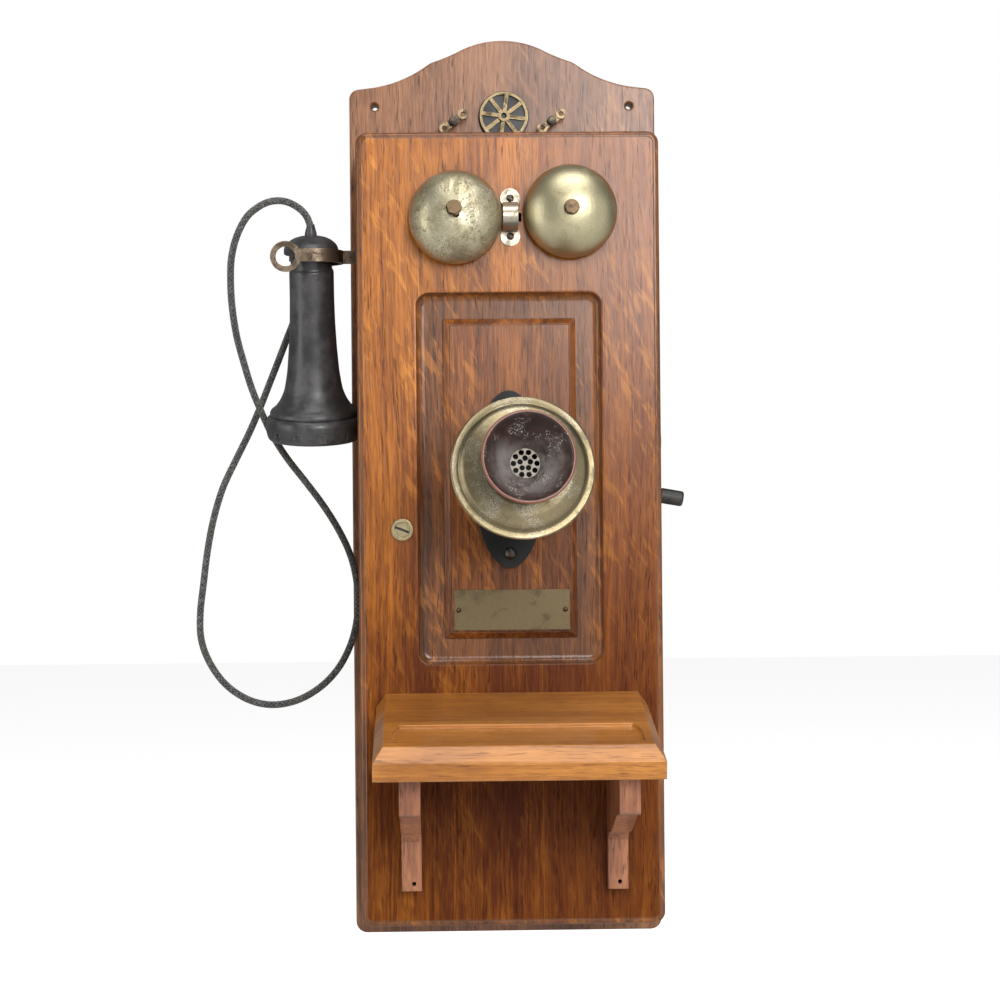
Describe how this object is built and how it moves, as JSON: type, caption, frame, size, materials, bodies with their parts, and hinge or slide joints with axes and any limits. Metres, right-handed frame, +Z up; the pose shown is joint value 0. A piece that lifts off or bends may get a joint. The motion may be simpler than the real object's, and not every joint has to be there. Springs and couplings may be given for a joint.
{
  "type": "wall crank telephone",
  "caption": "Oak wall telephone with a hand crank, brass gongs, a tilting transmitter, a hook switch with a hanging receiver, and a sloping shelf.",
  "frame": {"origin": "midway between the two wall screw holes, on the wall plane at the backboard's back face", "axes": "+Z up, -Y out of the wall towards the user, +X to the user's right"},
  "size_m": [0.3502, 0.2966, 0.6475],
  "materials": {
    "oak_back": "fumed quartersawn oak under old varnish",
    "oak_case": "fumed oak, worn varnish",
    "oak_door": "fumed quartersawn oak, worn varnish",
    "oak_shelf": "sun-bleached oak",
    "oak_bracket": "reddish oak, varnished",
    "pine_shelf": "bare softwood",
    "hinge_brass": "aged brass",
    "arrester_brass": "worn brass",
    "black_rubber": "moulded hard rubber",
    "terminal_brass": "worn nickel over brass",
    "terminal_black": "blackened brass nuts",
    "magnet_steel": "hardened magnet steel, oiled",
    "soft_iron": "machined iron",
    "plate_brass": "machined brass",
    "winding": "varnished copper winding",
    "coil_cloth": "cloth-wrapped winding on wooden ends",
    "tin": "tinned sheet",
    "cell_card": "pasteboard jacket",
    "lock_brass": "worn nickel and brass",
    "gong_metal": "tarnished nickel over brass",
    "bolt_brass": "dull brass",
    "guard_nickel": "worn nickel",
    "plate_tarnish": "tarnished brass",
    "japan_black": "black japan over iron",
    "screw_steel": "dull steel",
    "face_brass": "tarnished brass",
    "mouth_rubber": "hard rubber browned at the rim",
    "grille_metal": "punched sheet",
    "diaphragm_metal": "thin tinned iron",
    "carbon": "carbon chamber",
    "crank_steel": "dull nickel over steel",
    "grip_rubber": "hard rubber",
    "hook_nickel": "nickel worn to brass",
    "receiver_rubber": "hard rubber, softly polished",
    "cord_braid": "braided cotton cover"
  },
  "bodies": {
    "root": {"backboard": "oak_back", "cabinet_side_left": "oak_case", "cabinet_side_right": "oak_case", "cabinet_top": "oak_case", "cabinet_bottom": "oak_case", "generator_shelf": "pine_shelf", "cabinet_hinge_leaves": "hinge_brass", "hinge_pins": "hinge_brass", "arrester_base": "black_rubber", "arrester_wheel": "arrester_brass", "binding_posts": "terminal_brass", "binding_nuts": "terminal_black", "generator_magnets": "magnet_steel", "generator_poles": "soft_iron", "generator_plates": "plate_brass", "hook_switch_frame": "soft_iron", "hook_contact_springs": "plate_brass", "induction_coil": "coil_cloth", "condenser": "tin", "dry_cells": "cell_card", "cord_gland": "black_rubber"},
    "door": {"door_board": "oak_door", "door_hinge_leaves": "hinge_brass", "lock_barrel": "lock_brass", "gong_left": "gong_metal", "gong_right": "gong_metal", "gong_posts": "bolt_brass", "gong_bolts": "bolt_brass", "clapper_guard": "guard_nickel", "ringer_frame": "soft_iron", "ringer_coils": "winding", "ringer_magnet": "magnet_steel", "nameplate": "plate_tarnish", "nameplate_pins": "bolt_brass", "door_screws": "screw_steel", "transmitter_base": "japan_black", "transmitter_pivot": "screw_steel", "shelf_board": "oak_shelf", "shelf_brackets": "oak_bracket"},
    "lock": {"lock_plug": "lock_brass"},
    "clapper": {"clapper": "guard_nickel"},
    "transmitter": {"transmitter_arm": "japan_black", "transmitter_cup": "japan_black", "transmitter_faceplate": "face_brass", "transmitter_mouthpiece": "mouth_rubber", "mouthpiece_grille": "grille_metal", "transmitter_diaphragm": "diaphragm_metal", "carbon_button": "carbon"},
    "crank": {"crank_handle": "crank_steel", "drive_gear": "plate_brass"},
    "grip": {"crank_grip": "grip_rubber"},
    "armature": {"generator_armature": "soft_iron", "armature_pinion": "plate_brass"},
    "hook": {"hook_lever": "hook_nickel"},
    "receiver": {"receiver_shell": "receiver_rubber", "receiver_tail_cap": "receiver_rubber", "receiver_ear_cap": "receiver_rubber", "receiver_diaphragm": "diaphragm_metal", "receiver_magnet": "magnet_steel", "receiver_cord": "cord_braid"}
  },
  "joints": [
    {"name": "door_hinge", "type": "hinge", "parent": "root", "child": "door", "pos_m": [0.1024, -0.1187, -0.3], "axis": [0, 0, 1], "range_deg": [0, 95]},
    {"name": "lock_turn", "type": "hinge", "parent": "door", "child": "lock", "pos_m": [-0.0742, -0.12, -0.3067], "axis": [0, -1, 0], "range_deg": [0, 90]},
    {"name": "clapper_swing", "type": "hinge", "parent": "door", "child": "clapper", "pos_m": [0.0034, -0.1, -0.14], "axis": [0, 1, 0], "range_deg": [-4.4, 4.4]},
    {"name": "transmitter_tilt", "type": "hinge", "parent": "door", "child": "transmitter", "pos_m": [0, -0.165, -0.2805], "axis": [0.9976, 0.0698, 0], "range_deg": [-20, 35]},
    {"name": "crank_turn", "type": "hinge", "parent": "root", "child": "crank", "pos_m": [0, -0.066, -0.246], "axis": [1, 0, 0], "continuous": true},
    {"name": "grip_spin", "type": "hinge", "parent": "crank", "child": "grip", "pos_m": [0.1074, -0.066, -0.284], "axis": [0.9848, 0, -0.1736], "continuous": true},
    {"name": "armature_spin", "type": "hinge", "parent": "root", "child": "armature", "pos_m": [0, -0.066, -0.291], "axis": [1, 0, 0], "continuous": true},
    {"name": "receiver_lift", "type": "slide", "parent": "root", "child": "receiver", "axis": [-0.0017, -0.1994, 0.9799], "range_m": [0, 0.015]},
    {"name": "hook_swing", "type": "hinge", "parent": "root", "child": "hook", "pos_m": [-0.076, -0.0837, -0.115], "axis": [0, 1, 0], "range_deg": [0, 8.1]}
  ],
  "couplings": [
    {"joint": "armature_spin", "follows": "crank_turn", "ratio": -5},
    {"joint": "hook_swing", "follows": "receiver_lift", "rad_per_m": 9.308}
  ]
}
